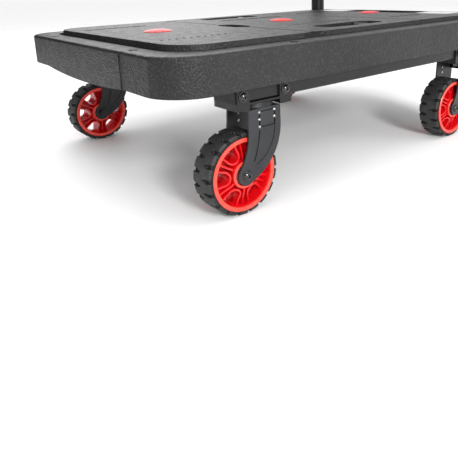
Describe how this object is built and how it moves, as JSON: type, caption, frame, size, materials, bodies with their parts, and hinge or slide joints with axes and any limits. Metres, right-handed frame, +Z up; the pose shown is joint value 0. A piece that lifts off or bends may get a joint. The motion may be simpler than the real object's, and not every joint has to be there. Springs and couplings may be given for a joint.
{
  "type": "platform hand truck",
  "caption": "Flat platform hand truck with a moulded deck on a steel underframe, swivel casters and a fold-down U handle.",
  "frame": {"origin": "on the floor under the middle of the deck", "axes": "+X along the deck towards the handle, +Y across the deck to its left side, +Z up"},
  "size_m": [0.9, 0.6, 0.98],
  "materials": {
    "deck_polymer": "fine moulded grain, satin",
    "dark_polymer": "plain moulded",
    "red_gloss": "glossy moulded",
    "smooth_inlay": "smooth satin film",
    "plated_steel": "zinc plated",
    "black_steel": "black coated",
    "handle_steel": "dark coated tube",
    "knob_polymer": "ribbed moulded",
    "grip_rubber": "soft matt",
    "hub_polymer": "moulded",
    "tread_rubber": "matt rubber"
  },
  "bodies": {
    "chassis": {"deck_top": "deck_polymer", "deck_base_pan": "dark_polymer", "dome_inlays": "red_gloss", "smooth_pads": "smooth_inlay", "deck_screws": "plated_steel", "tie_bars": "plated_steel", "rail_right": "black_steel", "rail_left": "black_steel", "rail_end_plugs": "dark_polymer", "cross_member_front": "black_steel", "cross_member_middle": "black_steel", "cross_member_rear": "black_steel", "saddle_bolts": "plated_steel", "swivel_balls": "plated_steel", "kingpins": "plated_steel", "handle_socket_right": "black_steel", "handle_socket_left": "black_steel", "pivot_bolts": "plated_steel", "saddle_front_right": "black_steel", "swivel_race_front_right": "plated_steel", "saddle_front_left": "black_steel", "swivel_race_front_left": "plated_steel", "saddle_rear_right": "black_steel", "swivel_race_rear_right": "plated_steel", "saddle_rear_left": "black_steel", "swivel_race_rear_left": "plated_steel"},
    "handle": {"handle_tongues": "handle_steel", "handle_tube": "handle_steel", "handle_grip": "grip_rubber"},
    "knob_right": {"clamp_knob_right": "knob_polymer"},
    "knob_left": {"clamp_knob_left": "knob_polymer"},
    "swivel_front_right": {"fork_front_right": "black_steel", "fork_rivets_front_right": "plated_steel", "axle_front_right": "plated_steel"},
    "wheel_front_right": {"wheel_bearings_front_right": "plated_steel", "hub_caps_front_right": "hub_polymer", "wheel_rim_front_right": "red_gloss", "tyre_front_right": "tread_rubber"},
    "swivel_front_left": {"fork_front_left": "black_steel", "fork_rivets_front_left": "plated_steel", "axle_front_left": "plated_steel"},
    "wheel_front_left": {"wheel_bearings_front_left": "plated_steel", "hub_caps_front_left": "hub_polymer", "wheel_rim_front_left": "red_gloss", "tyre_front_left": "tread_rubber"},
    "swivel_rear_right": {"fork_rear_right": "black_steel", "fork_rivets_rear_right": "plated_steel", "axle_rear_right": "plated_steel"},
    "wheel_rear_right": {"wheel_bearings_rear_right": "plated_steel", "hub_caps_rear_right": "hub_polymer", "wheel_rim_rear_right": "red_gloss", "tyre_rear_right": "tread_rubber"},
    "swivel_rear_left": {"fork_rear_left": "black_steel", "fork_rivets_rear_left": "plated_steel", "axle_rear_left": "plated_steel"},
    "wheel_rear_left": {"wheel_bearings_rear_left": "plated_steel", "hub_caps_rear_left": "hub_polymer", "wheel_rim_rear_left": "red_gloss", "tyre_rear_left": "tread_rubber"}
  },
  "joints": [
    {"name": "handle_fold", "type": "hinge", "parent": "chassis", "child": "handle", "pos_m": [0.395, 0, 0.315], "axis": [0, 1, 0], "range_deg": [-90, 0]},
    {"name": "knob_right_turn", "type": "hinge", "parent": "chassis", "child": "knob_right", "pos_m": [0.395, -0.257, 0.315], "axis": [0, 1, 0], "continuous": true},
    {"name": "knob_left_turn", "type": "hinge", "parent": "chassis", "child": "knob_left", "pos_m": [0.395, 0.257, 0.315], "axis": [0, 1, 0], "continuous": true},
    {"name": "swivel_front_right_turn", "type": "hinge", "parent": "chassis", "child": "swivel_front_right", "pos_m": [-0.292, -0.264, 0.156], "axis": [0, 0, 1], "continuous": true},
    {"name": "wheel_front_right_spin", "type": "hinge", "parent": "swivel_front_right", "child": "wheel_front_right", "pos_m": [-0.3285, -0.264, 0.0625], "axis": [0, 1, 0], "continuous": true},
    {"name": "swivel_front_left_turn", "type": "hinge", "parent": "chassis", "child": "swivel_front_left", "pos_m": [-0.292, 0.264, 0.156], "axis": [0, 0, 1], "continuous": true},
    {"name": "wheel_front_left_spin", "type": "hinge", "parent": "swivel_front_left", "child": "wheel_front_left", "pos_m": [-0.3285, 0.264, 0.0625], "axis": [0, 1, 0], "continuous": true},
    {"name": "swivel_rear_right_turn", "type": "hinge", "parent": "chassis", "child": "swivel_rear_right", "pos_m": [0.268, -0.264, 0.156], "axis": [0, 0, 1], "continuous": true},
    {"name": "wheel_rear_right_spin", "type": "hinge", "parent": "swivel_rear_right", "child": "wheel_rear_right", "pos_m": [0.2315, -0.264, 0.0625], "axis": [0, 1, 0], "continuous": true},
    {"name": "swivel_rear_left_turn", "type": "hinge", "parent": "chassis", "child": "swivel_rear_left", "pos_m": [0.268, 0.264, 0.156], "axis": [0, 0, 1], "continuous": true},
    {"name": "wheel_rear_left_spin", "type": "hinge", "parent": "swivel_rear_left", "child": "wheel_rear_left", "pos_m": [0.2315, 0.264, 0.0625], "axis": [0, 1, 0], "continuous": true}
  ]
}
